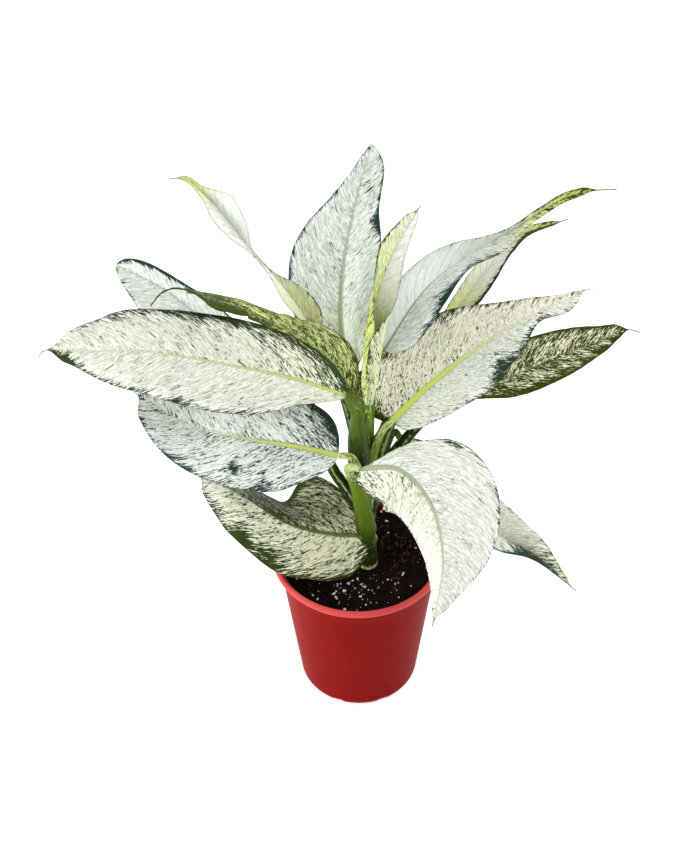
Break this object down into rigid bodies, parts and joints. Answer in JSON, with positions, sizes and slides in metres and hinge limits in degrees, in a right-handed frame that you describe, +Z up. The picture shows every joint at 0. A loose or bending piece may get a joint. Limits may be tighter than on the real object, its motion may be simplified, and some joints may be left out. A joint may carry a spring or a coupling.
{
  "type": "potted foliage plant",
  "caption": "Dieffenbachia with pale flecked blades on one sheathed green stem, in a round red nursery pot filled with potting soil.",
  "frame": {"origin": "middle of the pot's underside, on the surface that the pot stands on", "axes": "+Z up; -Y towards the side that the plant is looked at from; +X to the viewer's right"},
  "size_m": [0.4875, 0.2629, 0.4639],
  "materials": {
    "pot_plastic": "satin",
    "potting_soil": "matte",
    "green_stem": "satin",
    "leaf_blade": "satin"
  },
  "bodies": {
    "root": {"pot": "pot_plastic", "soil": "potting_soil", "stem": "green_stem", "leaf_front_left": "leaf_blade", "leaf_lower_left": "leaf_blade", "leaf_rim_left": "leaf_blade", "leaf_front_right": "leaf_blade", "leaf_right": "leaf_blade", "leaf_far_left": "leaf_blade", "leaf_arched_left": "leaf_blade", "leaf_low_right": "leaf_blade", "leaf_dark_right": "leaf_blade", "leaf_centre": "leaf_blade", "leaf_upper_right": "leaf_blade", "leaf_behind_right": "leaf_blade", "leaf_upper_left": "leaf_blade", "leaf_spear": "leaf_blade"}
  },
  "joints": []
}
